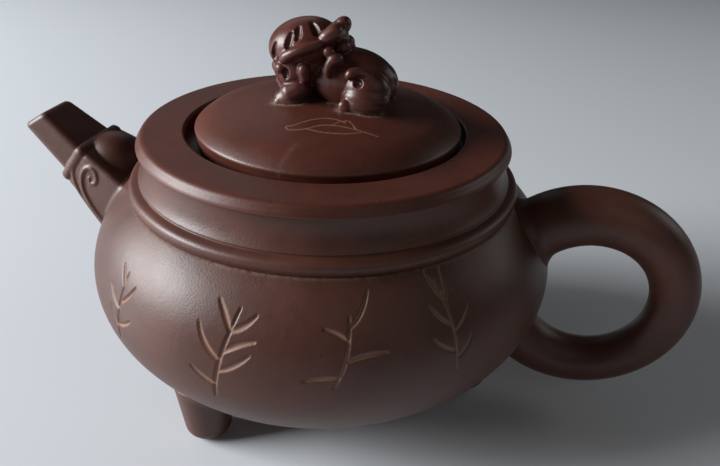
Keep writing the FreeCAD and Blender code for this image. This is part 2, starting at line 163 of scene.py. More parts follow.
def worn(points, radius, closed, step=0.15):
    """An outline whose corners are rounded off by about a radius, as wet sponging leaves them.

    An outline that isn't closed starts and ends on the pot's axis.
    """
    points = np.asarray(points, float)
    if closed:
        points = np.vstack([points, points[:1]])
    line = resampled(points, step)
    reach = int(radius * 3 / step) + 1
    kernel = np.exp(-0.5 * (np.arange(-reach, reach + 1) * step / radius) ** 2)
    kernel /= kernel.sum()
    if closed:
        line = line[:-1]
        padded = np.vstack([line[-reach:], line, line[:reach]])
    else:
        mirror = np.array([-1, 1])
        padded = np.vstack([(line[1:reach + 1] * mirror)[::-1], line,
                            (line[-reach - 1:-1] * mirror)[::-1]])
    soft = np.stack([np.convolve(column, kernel, "valid") for column in padded.T], axis=1)
    if not closed:
        soft[[0, -1], 0] = 0.0
    return soft


# Meshes -----------------------------------------------------------------------------------------


def new_object(name, vertices, faces):
    """A smooth-shaded mesh object from millimetre coordinates."""
    mesh = bpy.data.meshes.new(name)
    mesh.from_pydata(np.asarray(vertices, float) * MM, [], faces)
    mesh.polygons.foreach_set("use_smooth", np.ones(len(mesh.polygons), bool))
    mesh.update()
    item = bpy.data.objects.new(name, mesh)
    bpy.context.scene.collection.objects.link(item)
    return item


def grid_faces(rows, columns, wrap_rows, wrap_columns):
    """Quads between the points of a grid that is stored row by row."""
    r = np.arange(rows if wrap_rows else rows - 1)[:, None]
    c = np.arange(columns if wrap_columns else columns - 1)[None, :]
    r2, c2 = (r + 1) % rows, (c + 1) % columns
    quads = [r * columns + c, r * columns + c2, r2 * columns + c2, r2 * columns + c]
    return np.stack([q.ravel() for q in quads], axis=1)


def revolved_shape(outline, azimuths, centre=(0.0, 0.0)):
    """Vertices and faces of a turned shape.

    An outline that starts on the axis is capped there, any other one is a ring.
    """
    on_axis = outline[0][0] < 1e-9
    ring_outline = outline[1:-1] if on_axis else outline
    turn = np.radians(azimuths)
    rows, columns = len(ring_outline), len(turn)
    radii, heights = ring_outline[:, :1], ring_outline[:, 1:]
    grid = np.stack([centre[0] + radii * np.cos(turn), centre[1] + radii * np.sin(turn),
                     heights + 0 * turn], axis=2)
    vertices = grid.reshape(-1, 3)
    faces = grid_faces(rows, columns, not on_axis, True).tolist()
    if on_axis:
        first, last = len(vertices), len(vertices) + 1
        poles = [[*centre, outline[0][1]], [*centre, outline[-1][1]]]
        vertices = np.vstack([vertices, poles])
        c = np.arange(columns)
        c2 = (c + 1) % columns
        faces += np.stack([np.full(columns, first), c2, c], axis=1).tolist()
        base = (rows - 1) * columns
        faces += np.stack([np.full(columns, last), base + c, base + c2], axis=1).tolist()
    return vertices, faces


def revolve(name, outline, azimuths, centre=(0.0, 0.0)):
    """A turned mesh object."""
    return new_object(name, *revolved_shape(outline, azimuths, centre))


def tube_points(path, radii, sides=24, up=(0.0, 1.0, 0.0), squash=1.0):
    """Rings of points round a path, as rows of a grid. squash flattens them along up."""
    path = np.asarray(path, float)
    radii = np.broadcast_to(radii, len(path))
    along = np.gradient(path, axis=0)
    along /= np.linalg.norm(along, axis=1)[:, None]
    across = np.cross(along, np.asarray(up, float))
    across /= np.linalg.norm(across, axis=1)[:, None]
    above = np.cross(along, across)
    turn = np.linspace(0, 2 * math.pi, sides, endpoint=False)
    return (path[:, None] + radii[:, None, None]
            * (across[:, None] * np.cos(turn)[:, None]
               + above[:, None] * np.sin(turn)[:, None] * squash))


def capped_grid(rings):
    """Vertices and faces of a closed tube: rings of points and a fan over each end."""
    rows, columns = rings.shape[:2]
    vertices = np.vstack([rings.reshape(-1, 3), rings[0].mean(0), rings[-1].mean(0)])
    first, last = rows * columns, rows * columns + 1
    c = np.arange(columns)
    c2 = (c + 1) % columns
    base = (rows - 1) * columns
    faces = grid_faces(rows, columns, False, True).tolist()
    faces += np.stack([np.full(columns, first), c2, c], axis=1).tolist()
    faces += np.stack([np.full(columns, last), base + c, base + c2], axis=1).tolist()
    return vertices, faces


def coordinates(item):
    """A mesh's vertices in millimetres."""
    flat = np.zeros(len(item.data.vertices) * 3)
    item.data.vertices.foreach_get("co", flat)
    return flat.reshape(-1, 3) / MM


def set_coordinates(item, points):
    """Move a mesh's vertices to points in millimetres."""
    item.data.vertices.foreach_set("co", (np.asarray(points) * MM).ravel())
    item.data.update()


def vertex_normals(item):
    """A mesh's outward direction at each vertex."""
    flat = np.zeros(len(item.data.vertices) * 3)
    item.data.vertices.foreach_get("normal", flat)
    return flat.reshape(-1, 3)


def set_attribute(item, name, values):
    """A number from 0 to 1 at each vertex, for the material."""
    layer = item.data.attributes.get(name)
    layer = layer or item.data.attributes.new(name, "FLOAT", "POINT")
    layer.data.foreach_set("value", np.clip(values, 0, 1).astype(np.float32))


def rub_and_highlight_turned(item, outline, columns):
    """Mark rubbed wear and a painted highlight on a turned piece, from how sharply its outline turns
    outwards.
    """
    full_bend, threshold = 1.6, 0.2
    closed = outline[0][0] > 1e-9
    ring = outline if closed else np.vstack([outline[1] * [-1, 1], outline, outline[-2] * [-1, 1]])
    ring = np.vstack([ring[-1:], ring, ring[:1]]) if closed else ring
    step = np.diff(ring, axis=0)
    heading = np.unwrap(np.arctan2(step[:, 1], step[:, 0]))
    bend = np.diff(heading) / np.linalg.norm(step, axis=1)[1:]
    rows = bend if closed else bend[1:-1]
    rubbed_and_highlight = np.repeat(np.clip(rows / full_bend - threshold, 0, 1), columns)
    poles = len(item.data.vertices) - len(rubbed_and_highlight)
    set_attribute(item, "rubbed_and_highlight", np.r_[rubbed_and_highlight, np.zeros(poles)])


def rub_and_highlight_sculpted(item, voxel):
    """Mark rubbed wear and a painted highlight on an evenly meshed piece: 1 where a vertex stands proud
    of its neighbours.
    """
    points, normals = coordinates(item), vertex_normals(item)
    edges = np.zeros(len(item.data.edges) * 2, int)
    item.data.edges.foreach_get("vertices", edges)
    a, b = edges.reshape(-1, 2).T
    count = np.bincount(np.r_[a, b], minlength=len(points))

    def mean_of_neighbours(values):
        total = np.zeros_like(values)
        np.add.at(total, a, values[b])
        np.add.at(total, b, values[a])
        return total / count.reshape((-1,) + (1,) * (values.ndim - 1))

    proud = ((points - mean_of_neighbours(points)) * normals).sum(1) / voxel ** 2
    for _ in range(3):
        proud = mean_of_neighbours(proud)
    gain, threshold = 1.6, 0.25
    set_attribute(item, "rubbed_and_highlight", proud * gain - threshold)


def apply_modifiers(item):
    """Replace an object's mesh by what its modifiers make of it."""
    depsgraph = bpy.context.evaluated_depsgraph_get()
    mesh = bpy.data.meshes.new_from_object(item.evaluated_get(depsgraph))
    item.modifiers.clear()
    old = item.data
    item.data = mesh
    bpy.data.meshes.remove(old)
    mesh.polygons.foreach_set("use_smooth", np.ones(len(mesh.polygons), bool))
    mesh.update()


def drill(item, start, end, radius, solver="EXACT"):
    """Cut a round hole through a piece."""
    tool = new_object("drill", *capped_grid(tube_points([start, end], radius, 32, (0.3, 0.9, 0.2))))
    cut = item.modifiers.new("hole", "BOOLEAN")
    cut.operation = "DIFFERENCE"
    cut.solver = solver
    cut.object = tool
    apply_modifiers(item)
    bpy.data.objects.remove(tool)


def joined(name, parts):
    """One object from several (vertices, faces)."""
    vertices, faces, offset = [], [], 0
    for part_vertices, part_faces in parts:
        vertices.append(np.asarray(part_vertices, float))
        faces += [[i + offset for i in face] for face in part_faces]
        offset += len(part_vertices)
    return new_object(name, np.vstack(vertices), faces)


def skin(item, voxel):
    """Add a remesh that wraps everything in one even skin."""
    remesh = item.modifiers.new("skin", "REMESH")
    remesh.mode = "VOXEL"
    remesh.voxel_size = voxel * MM
    remesh.adaptivity = 0.0


def fused(name, parts, voxel, rounds, hollows=()):
    """One skin over closed parts that overlap, with soft joins, as clay that is luted together.

    Each of hollows, a closed (vertices, faces), is taken out before the last softening.
    """
    item = joined(name, parts)
    skin(item, voxel)
    tools = [joined(f"{name}_hollow", [hollow]) for hollow in hollows]
    for tool in tools:
        cut = item.modifiers.new("hollow", "BOOLEAN")
        cut.operation = "DIFFERENCE"
        cut.solver = "EXACT"
        cut.object = tool
    if tools:
        skin(item, voxel)
    smooth = item.modifiers.new("soft", "SMOOTH")
    smooth.factor = 0.5
    smooth.iterations = rounds
    apply_modifiers(item)
    for tool in tools:
        bpy.data.objects.remove(tool)
    return item


def ball(centre, radii, lean=0.0, roll=0.0):
    """A closed ellipsoid, leaned about Y and then rolled about X."""
    rise = np.linspace(-math.pi / 2, math.pi / 2, 26)[1:-1]
    turn = np.linspace(0, 2 * math.pi, 36, endpoint=False)
    rings = np.stack([np.cos(rise)[:, None] * np.cos(turn), np.cos(rise)[:, None] * np.sin(turn),
                      np.sin(rise)[:, None] + 0 * turn], axis=2)
    vertices, faces = capped_grid(rings)
    vertices[-2:, 2] = (-1.0, 1.0)
    spin = (Matrix.Rotation(math.radians(roll), 3, "X")
            @ Matrix.Rotation(math.radians(lean), 3, "Y"))
    return np.asarray(centre) + (vertices * radii) @ np.array(spin).T, faces


def limb(points, radii, up=(0.0, 1.0, 0.0), squash=1.0, sides=20, step=0.35):
    """A tube along a smooth curve, with a radius at each given point and round ends."""
    path = spline(points, step)
    t = np.linspace(0, 1, len(path))
    size = np.interp(t, np.linspace(0, 1, len(radii)), radii)
    length = np.r_[0, np.cumsum(np.linalg.norm(np.diff(path, axis=0), axis=1))]
    for end in (length, length[-1] - length):
        size = size * np.sqrt(np.clip(1 - (1 - np.clip(end / size, 0, 1)) ** 2, 0.02, 1))
    return capped_grid(tube_points(path, size, sides, up, squash))


# The belly's surface, which other pieces are seated on ------------------------------------------


def belly_depth(points):
    """How far points are outside the belly's surface, near it, and the outward normals there."""
    points = np.asarray(points, float)
    half_height = np.where(points[:, 2] > EQUATOR, UPPER_RISE, LOWER_DEPTH)
    scale = np.stack([np.full(len(points), BELLY_RADIUS), np.full(len(points), BELLY_RADIUS),
                      half_height], axis=1)
    local = (points - [0, 0, EQUATOR]) / scale
    size = np.linalg.norm(local, axis=1)
    slope = local / scale
    steepness = np.linalg.norm(slope, axis=1)
    outward = slope / steepness[:, None]
    return (size - 1) * size / steepness, outward


def seated(points, axis_point, axis_line, blend, sink=1.4):
    """Points of a limb that grows from the belly, with a concave blend round its root.

    Near the belly the limb widens away from its own axis; inside the wall it stops at a depth.
    """
    points = np.array(points, float)
    depth, outward = belly_depth(points)
    axis_line = np.asarray(axis_line, float) / np.linalg.norm(axis_line)
    away = points - np.asarray(axis_point, float)
    away -= (away @ axis_line)[:, None] * axis_line
    away -= (away * outward).sum(1)[:, None] * outward
    size = np.linalg.norm(away, axis=1)
    away /= np.maximum(size, 1e-6)[:, None]
    near = np.clip(1 - np.maximum(depth, 0) / blend, 0, 1)
    points += away * (0.55 * blend * near ** 3 * np.clip(size / blend, 0, 1))[:, None]
    depth, outward = belly_depth(points)
    points -= outward * np.minimum(depth + sink, 0)[:, None]
    return points


# Incised drawing --------------------------------------------------------------------------------


def leaf(start, heading, length, bend, width):
    """A brush-like stroke on a flat sheet: its points, and its half width at each point."""
    t = np.linspace(0, 1, 24)
    turn = np.radians(heading + bend * t)
    step = length / (len(t) - 1)
    xy = np.cumsum(np.stack([np.cos(turn), np.sin(turn)], axis=1) * step, axis=0)
    half = width / 2 * (0.25 + 0.75 * np.sin(math.pi * t ** 0.7) ** 0.8)
    return np.asarray(start) + xy, half


def sprig(size, leaves, stem_heading, stem_bend, width):
    """A stem with leaves along it, drawn round (0, 0): a list of strokes."""
    stem_start = -0.5 * size * np.array([math.cos(math.radians(stem_heading)),
                                         math.sin(math.radians(stem_heading))])
    stem, half = leaf(stem_start, stem_heading, size, stem_bend, width * 0.7)
    strokes = [(stem, half)]
    for place, heading, length, bend in leaves:
        start = stem[int(place * (len(stem) - 1))]
        strokes.append(leaf(start, heading, length * size, bend, width))
    return strokes


def incise(item, strokes_3d, depth, edge=0.12):
    """Press strokes into a mesh. Each stroke is points on the surface and half widths.

    A vertex inside a stroke moves in along its normal. The attribute "incised" is 1 in a groove.
    """
    points, normals = coordinates(item), vertex_normals(item)
    path = np.vstack([p for p, _ in strokes_3d])
    half = np.concatenate([h for _, h in strokes_3d])
    tree = KDTree(len(path))
    for i, p in enumerate(path):
        tree.insert(p, i)
    tree.balance()
    reach = half.max() + edge
    low, high = path.min(0) - reach, path.max(0) + reach
    near = np.nonzero(((points >= low) & (points <= high)).all(1))[0]
    cut = np.zeros(len(points))
    for i in near:
        for _, k, distance in tree.find_range(points[i], reach):
            cut[i] = max(cut[i], (half[k] + edge - distance) / (half[k] + edge))
    steepness, tint = 1.5, 2.2
    shape = np.sin(np.clip(cut * steepness, 0, 1) * math.pi / 2) ** 1.5
    set_coordinates(item, points - normals * (depth * shape)[:, None])
    set_attribute(item, "incised", cut * tint)


def on_belly(strokes, azimuth, height):
    """Strokes drawn on a flat sheet, laid on the belly round a point."""
    laid = []
    for xy, half in strokes:
        xy = resampled(xy, 0.12)
        half = np.interp(np.linspace(0, 1, len(xy)), np.linspace(0, 1, len(half)), half)
        turn = math.radians(azimuth) + xy[:, 0] / BELLY_RADIUS
        z = height + xy[:, 1]
        rise = np.where(z > EQUATOR, UPPER_RISE, LOWER_DEPTH)
        radius = BELLY_RADIUS * np.sqrt(1 - ((z - EQUATOR) / rise) ** 2)
        laid.append((np.stack([radius * np.cos(turn), radius * np.sin(turn), z], axis=1), half))
    return laid


# Pieces -----------------------------------------------------------------------------------------

TURN_STEP = 0.75


def coarser(outline, first, last, every):
    """An outline with all its points from first to last, and one in so many of the others."""
    index = np.arange(len(outline))
    fine = (index >= first) & (index <= last)
    return outline[fine | (index % every == 0) | (index == index[-1])]


def turned(name, outline, nodes, body, centre=(0.0, 0.0), every=1):
    """A turned piece that stands for some CAD nodes on a body."""
    azimuths = np.arange(0, 360, TURN_STEP * every)
    item = revolve(name, outline, azimuths, centre)
    rub_and_highlight_turned(item, outline, len(azimuths))
    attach(item, body)
    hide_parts(*nodes)
    return item


def make_belly():
    """The squat belly with its cavity and four incised sprigs on the front."""
    cavity = BELLY_RADIUS - WALL
    outline_step, front_step, back_step = ((0.26, 0.24, 1.0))
    front_start, front_end = -140, -28
    outside = worn(np.vstack([
        [(0.0, BASE)],
        ellipse_arc(BELLY_RADIUS, LOWER_DEPTH, EQUATOR, BASE, EQUATOR),
        ellipse_arc(BELLY_RADIUS, UPPER_RISE, EQUATOR, EQUATOR, CREASE)[1:],
        [(NECK_BORE, CREASE)],
        ellipse_arc(cavity, CAVITY_UPPER_RISE, EQUATOR, CREASE, EQUATOR),
        ellipse_arc(cavity, CAVITY_LOWER_DEPTH, EQUATOR, EQUATOR, EQUATOR - CAVITY_LOWER_DEPTH)[1:],
    ]), 0.35, closed=False, step=outline_step)
    visible_from = np.argmax(outside[:, 1] > BASE + 0.1) - 4
    visible_to = np.argmax(outside[:, 1]) + 8
    outside = coarser(outside, visible_from, visible_to, 4)
    front = np.arange(front_start, front_end, front_step)
    back = np.arange(front_end, front_start + 360, back_step)
    item = revolve("belly", outside, np.r_[front, back])
    rub_and_highlight_turned(item, outside, len(front) + len(back))
    hole = spout_points([(-22.0, 0.0, 0.0), (-8.0, 0.0, 0.0)], BLOCK_SLOPE)
    drill(item, *hole, SPOUT_HOLE_RADIUS, "MANIFOLD")
    points = coordinates(item)
    turn = np.arctan2(points[:, 1], points[:, 0])
    waver = 1 + 0.0016 * np.sin(2 * turn + 0.7) + 0.0009 * np.sin(3 * turn - 0.4)
    points[:, :2] *= waver[:, None]
    set_coordinates(item, points)
    crease_radius, dust_width, dust_amount = 44.9, 0.3, 0.4
    radius = np.linalg.norm(points[:, :2], axis=1)
    dust = dust_amount * np.exp(-((radius - crease_radius) / dust_width) ** 2)
    set_attribute(item, "dusty", dust * (points[:, 2] > EQUATOR))

    # azimuth and height of each sprig's middle, and its drawing; each leaf is where it leaves the
    # stem, its heading, its length as a share of the sprig's, and how far it bends
    sprigs = [
        (-124.5, 39.5, sprig(15, [(0.25, 150, 0.34, -30), (0.3, 20, 0.36, 25), (0.55, 165, 0.4, -35),
                                  (0.62, 35, 0.38, 30), (0.85, 125, 0.3, 25)], 78, 18, 0.75)),
        (-96.5, 39.8, sprig(19, [(0.2, 160, 0.3, -20), (0.35, 25, 0.4, 20), (0.5, 150, 0.42, -35),
                                 (0.6, 40, 0.36, -30), (0.8, 120, 0.3, 20), (0.82, 20, 0.3, 25)],
                            84, -14, 1.0)),
        (-70.0, 42.0, sprig(13, [(0.2, 175, 0.5, 20), (0.45, 20, 0.62, -25), (0.7, 140, 0.4, 30),
                                 (0.9, 35, 0.5, 30)], 60, 30, 0.85)),
        (-46.5, 43.5, sprig(17, [(0.2, 30, 0.32, 30), (0.3, 160, 0.36, -30), (0.5, 25, 0.36, 25),
                                 (0.6, 150, 0.34, -25), (0.8, 60, 0.3, 20), (0.85, 130, 0.28, -25)],
                            88, 14, 0.7)),
    ]
    laid = []
    for azimuth, height, strokes in sprigs:
        laid += on_belly(strokes, azimuth, height)
    incise(item, laid, depth=0.34)
    return item


def make_neck():
    """The bead at the foot of the neck and the waisted band above it, as one ring."""
    groove, bead_foot, bead_bulge, waist = 0.28, 44.7, 1.25, 0.75
    outline = worn(np.vstack([
        [(NECK_BORE, CREASE)],
        bulged((bead_foot, CREASE), (BEAD_TOP_RADIUS + 0.1, BEAD_TOP - 0.15), bead_bulge),
        [(BEAD_TOP_RADIUS - groove, BEAD_TOP + 0.05)],
        bulged((BEAD_TOP_RADIUS, BEAD_TOP + 0.3), (BAND_TOP_RADIUS, BAND_TOP), -waist),
        [(NECK_BORE, BAND_TOP)],
    ]), 0.16, closed=True)
    return turned("neck", outline, ["neck_bead", "neck_band"], "pot")


def make_rim():
    """The flat rim with its rolled edge and thin lower lip, and the seat for the lid inside."""
    underside_radius, lip_radius, edge_radius, top_radius = 42.2, 42.75, 42.1, 40.3
    lip_height, edge_height = BAND_TOP + 0.3, BAND_TOP + 1.6
    outline = worn(np.vstack([
        [(NECK_BORE, SEAT_UNDERSIDE), (NECK_BORE, BAND_TOP), (underside_radius, BAND_TOP)],
        bulged((lip_radius, lip_height), (edge_radius, edge_height), 0.12, 6),
        bulged((edge_radius, edge_height), (top_radius, RIM_TOP), 0.38)[1:],
        [(MOUTH + 0.4, RIM_TOP), (MOUTH, RIM_TOP - 0.5), (MOUTH, SEAT), (SEAT_RADIUS, SEAT),
         (SEAT_RADIUS, SEAT_UNDERSIDE)],
    ]), 0.13, closed=True)
    return turned("rim", outline, ["rim_ring", "mouth_seat"], "pot")


def make_lid():
    """The low dome with a vent, and the collar under it."""
    shoulder_radius, shoulder_height, edge_height = 24.5, 72.3, 68.9
    inner_top, collar_inner, collar_outer = 70.8, 24.4, half_width("lid_flange")
    crown_flat, wear = 3.0, 0.25
    outline = worn(np.vstack([
        [(0.0, inner_top)],
        bulged((0.0, inner_top), (collar_inner, SEAT), -1.5, 30),
        [(LID_RADIUS - 0.7, SEAT), (LID_RADIUS - 0.2, edge_height - 1.2)],
        [(LID_RADIUS, edge_height - 0.3)],
        bulged((LID_RADIUS - 0.1, edge_height), (shoulder_radius, shoulder_height), 0.42),
        bulged((shoulder_radius, shoulder_height), (crown_flat, LID_TOP), 0.62, 40)[1:],
        [(0.0, LID_TOP)],
    ]), wear, closed=False, step=0.2)
    dome = turned("lid_dome_clay", outline, ["lid_dome"], "lid", LID_CENTRE)
    drill(dome, (*VENT, SEAT), (*VENT, LID_TOP + 2), VENT_RADIUS)

    upper = outline[len(outline) // 2:][::-1]
    line_width, line_depth = 0.1, 0.1
    leaf_lines = [
        [(-3.4, -17.6), (-4.6, -18.0), (-3.6, -19.2), (-0.8, -18.6), (2.0, -16.4), (5.2, -15.4),
         (9.4, -15.6), (14.6, -16.4)],
        [(-3.4, -17.6), (-0.8, -14.8), (2.6, -12.8), (5.4, -12.9), (7.0, -13.6)],
        [(4.6, -15.4), (5.6, -13.6), (7.4, -12.6), (8.2, -13.4), (9.6, -15.4)],
        [(-0.4, -18.2), (3.4, -18.8), (7.8, -18.0), (11.0, -16.4)],
    ]
    strokes = []
    for line in leaf_lines:
        xy = spline(line, 0.12)
        z = np.interp(np.linalg.norm(xy, axis=1), upper[:, 0], upper[:, 1])
        strokes.append((np.column_stack([xy + LID_CENTRE, z]), np.full(len(xy), line_width)))
    incise(dome, strokes, line_depth)

    collar_bottom = bottom("lid_flange")
    collar = worn([(collar_inner, collar_bottom), (collar_outer, collar_bottom),
                   (collar_outer, SEAT), (collar_inner, SEAT)], wear, closed=True)
    ring = turned("lid_collar", collar, ["lid_flange"], "lid", LID_CENTRE, every=2)
    return dome, ring


def make_handle():
    """A ring of round section, thickest at its upper root."""
    centre = np.array([64.2, 0.0, 33.5])
    ring_radius, section, outer_thinning, top_swell = 20.0, 6.25, 0.8, 0.52
    reach, root_turn = 158.0, 156.0
    turn = np.radians(np.linspace(-reach, reach, 320))
    path = centre + ring_radius * np.stack([np.cos(turn), 0 * turn, np.sin(turn)], axis=1)
    radii = section - outer_thinning * np.cos(turn) + top_swell * np.sin(turn)
    rings = tube_points(path, radii, 96)
    shape = rings.shape
    points = rings.reshape(-1, 3)
    upper = points[:, 2] > centre[2]
    for side, root in ((upper, root_turn), (~upper, -root_turn)):
        angle = math.radians(root)
        anchor = centre + ring_radius * np.array([math.cos(angle), 0.0, math.sin(angle)])
        line = np.array([-math.sin(angle), 0.0, math.cos(angle)])
        points[side] = seated(points[side], anchor, line, blend=3.0)
    item = new_object("handle_loop", *capped_grid(points.reshape(shape)))
    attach(item, "pot")
    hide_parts("handle")
    return item


def make_feet():
    """Three short rounded stubs, flat below, blended into the belly."""
    pad, waist, waist_height, top_radius, top_height = 2.8, 5.6, 3.6, 7.3, 16.0
    outline = worn(np.vstack([
        [(0.0, 0.0), (pad, 0.0)],
        bulged((pad, 0.0), (waist, waist_height), 0.82),
        [(top_radius, top_height), (0.0, top_height)],
    ]), 0.35, closed=False, step=0.3)
    outline[:, 1] = np.maximum(outline[:, 1], 0.0)
    feet = []
    for node in ("foot_handle_side", "foot_spout_left", "foot_spout_right"):
        low, high = box(node)
        centre = (low[:2] + high[:2]) / 2
        foot = turned(f"{node}_nub", outline, [node], "pot", centre, every=3)
        points = coordinates(foot)
        set_coordinates(foot, seated(points, (*centre, 0.0), (0, 0, 1), blend=3.2))
        feet.append(foot)
    return feet


# Spout ------------------------------------------------------------------------------------------

# The middle of the block's front face. Distances along the spout are measured out from it, so they
# are negative on the block and positive on the tube.
BLOCK_FRONT = np.array([-62.9, 0.0, 54.1])
BLOCK_SLOPE, TUBE_SLOPE = 36.1, 40.6
BLOCK_LENGTH, TUBE_LENGTH = 24.0, 13.7


def spout_axes(slope):
    """The directions out along the spout, across it, and up from it."""
    turn = math.radians(slope)
    return (np.array([-math.cos(turn), 0.0, math.sin(turn)]), np.array([0.0, 1.0, 0.0]),
            np.array([math.sin(turn), 0.0, math.cos(turn)]))


def spout_points(local, slope):
    """Points given as (distance out, across, above) in the spout's own axes."""
    return BLOCK_FRONT + np.asarray(local, float) @ np.stack(spout_axes(slope))


def rounded_section(width, thickness, corner, count=72):
    """Points (across, above) of a rectangle with rounded corners."""
    across, above = width / 2 - corner, thickness / 2 - corner
    arc = np.radians(np.linspace(0, 90, 7))
    points = []
    for k, (sx, sz) in enumerate(((1, 1), (-1, 1), (-1, -1), (1, -1))):
        turn = arc + k * math.pi / 2
        points.append(np.stack([sx * across + corner * np.cos(turn),
                                sz * above + corner * np.sin(turn)], axis=1))
    outline = resampled(np.vstack(points + [points[0][:1]])[::-1], 0.2)
    return outline[np.linspace(0, len(outline) - 1, count, endpoint=False).astype(int)]


def flat_tube(stations, slope, slant=0.0):
    """A loft of rounded rectangles. A station is (distance out, width, thickness, corner)."""
    rings = []
    for distance, width, thickness, corner in stations:
        section = rounded_section(width, thickness, corner)
        out = distance - section[:, 1] * math.tan(math.radians(slant))
        rings.append(spout_points(np.column_stack([out, section]), slope))
    return capped_grid(np.array(rings))


def side_ridge(points, radius, side):
    """A thin raised line on one side face of the block, through points (distance out, above)."""
    local = [(s, side * (block_half_width(s) - 0.12), above) for s, above in points]
    return limb(spout_points(local, BLOCK_SLOPE), [radius * 0.7, radius, radius, radius * 0.7],
                up=(0.3, 1.0, 0.2), sides=12, step=0.25)


def block_half_width(distance):
    """Half the block's width at a distance out from its front."""
    front, rear = 17.4 / 2, 28.4 / 2
    return front + (rear - front) * -distance / BLOCK_LENGTH


def block_half_thickness(distance):
    """Half the block's thickness at a distance out from its front."""
    front, rear = 10.0 / 2, 15.2 / 2
    return front + (rear - front) * -distance / BLOCK_LENGTH


def make_spout():
    """The flared block with its lip, scrolls and boss, and the flat tube with a slanted end."""
    lip_width, lip_rise, groove_width, groove_depth = 1.9, 0.42, 0.35, 0.12
    block_corner, tube_corner, channel_corner = 1.3, 1.5, 0.8
    block = []
    for s in np.r_[np.arange(-27.0, -3.0, 1.5), np.linspace(-3.0, 0.35, 22)]:
        lip = lip_rise * math.sin(math.pi * np.clip((s + lip_width) / (lip_width + 0.4), 0, 1)) ** 0.6
        groove = -groove_depth * math.exp(-((s + lip_width + groove_width) / groove_width) ** 2)
        grow = 2 * (lip + groove)
        width, thickness = 2 * block_half_width(s), 2 * block_half_thickness(s)
        block.append((s, width + grow, thickness + 0.5 * grow, block_corner))

    tube_wall, end_round = 1.2, 1.2
    inner_size, outer_size, end_narrowing = (16.2, 8.3), (10.8, 6.8), (2.2, 0.8)

    def tube_size(s):
        """The tube's width and thickness at a distance out."""
        share = (s + 2.0) / (TUBE_LENGTH + 5.0)
        return tuple(inner + (outer - inner) * share for inner, outer in zip(inner_size, outer_size))

    tube = []
    tube_body = np.linspace(-3.0, TUBE_LENGTH - end_round, 20)
    tube_end = np.linspace(TUBE_LENGTH - 1.0, TUBE_LENGTH, 8)
    for s in np.r_[tube_body, tube_end]:
        rounding = 1 - math.sqrt(1 - np.clip((s - TUBE_LENGTH) / end_round + 1, 0, 0.98) ** 2)
        width, thickness = tube_size(s)
        tube.append((s, width - end_narrowing[0] * rounding, thickness - end_narrowing[1] * rounding,
                     tube_corner))

    # the way through: wide in the block, then the tube less its wall
    channel = [(-26.0, 20.0, 8.0, 2.0), (-4.0, 12.0, 5.4, 1.5)]
    for s in np.linspace(-2.0, TUBE_LENGTH + 4, 12):
        width, thickness = tube_size(s)
        channel.append((s, width - 2 * tube_wall, thickness - 2 * tube_wall, channel_corner))

    boss_setback, boss_lift, boss_radii = 8.0, 2.9, (8.4, 7.7, 7.2)
    boss_centre = spout_points((-boss_setback, 0.0, boss_lift), BLOCK_SLOPE)
    parts = [flat_tube(block, BLOCK_SLOPE), flat_tube(tube, TUBE_SLOPE, slant=17.0),
             ball(boss_centre, boss_radii, BLOCK_SLOPE)]

    # two raised lines on each side face, as points (distance out, above)
    border = [(-1.4, 2.6), (-1.5, 0.2), (-2.6, -2.4), (-5.2, -4.2), (-9.0, -5.2), (-14.0, -6.1),
              (-19.0, -7.0)]
    volute = [(-19.0, -5.8), (-14.5, -5.5), (-10.1, -4.6), (-6.6, -3.0), (-4.7, -0.6), (-4.3, 1.7),
              (-5.2, 3.3), (-6.8, 3.5), (-8.1, 2.4), (-8.3, 0.9), (-7.4, 0.1), (-6.5, 0.6),
              (-6.4, 1.5)]
    for side in (-1, 1):
        parts += [side_ridge(border, 0.5, side), side_ridge(volute, 0.62, side)]

    # nothing of the block stays deeper than this inside the belly's wall
    sunk = 1.6
    radius, depth, rise = BELLY_RADIUS - sunk, LOWER_DEPTH - sunk, UPPER_RISE - sunk
    core = worn(np.vstack([
        [(0.0, EQUATOR - depth)],
        ellipse_arc(radius, depth, EQUATOR, 5.0, EQUATOR),
        ellipse_arc(radius, rise, EQUATOR, EQUATOR, EQUATOR + rise - 0.1),
        [(0.0, EQUATOR + rise)],
    ]), 0.4, closed=False, step=1.2)
    belly_core = revolved_shape(core, np.arange(0, 360, 2.5))

    voxel = 0.22
    item = fused("spout_clay", parts, voxel, 3, [flat_tube(channel, TUBE_SLOPE), belly_core])
    points = coordinates(item)
    root = spout_points((-14.0, 0.0, 0.0), BLOCK_SLOPE)
    set_coordinates(item, seated(points, root, spout_axes(BLOCK_SLOPE)[0], blend=1.2))
    rub_and_highlight_sculpted(item, voxel)
    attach(item, "pot")
    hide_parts("spout_base", "spout_tip", "spout_boss", "spout_scroll_left",
                "spout_scroll_right")
    return item


# Lion -------------------------------------------------------------------------------------------


def both_sides(make, points, *sizes, **settings):
    """The same part on each side of the lion: points is one (x, y, z) or a list of them."""
    points = np.asarray(points, float)
    return [make(points * np.array([1, side, 1]), *sizes, **settings) for side in (1, -1)]


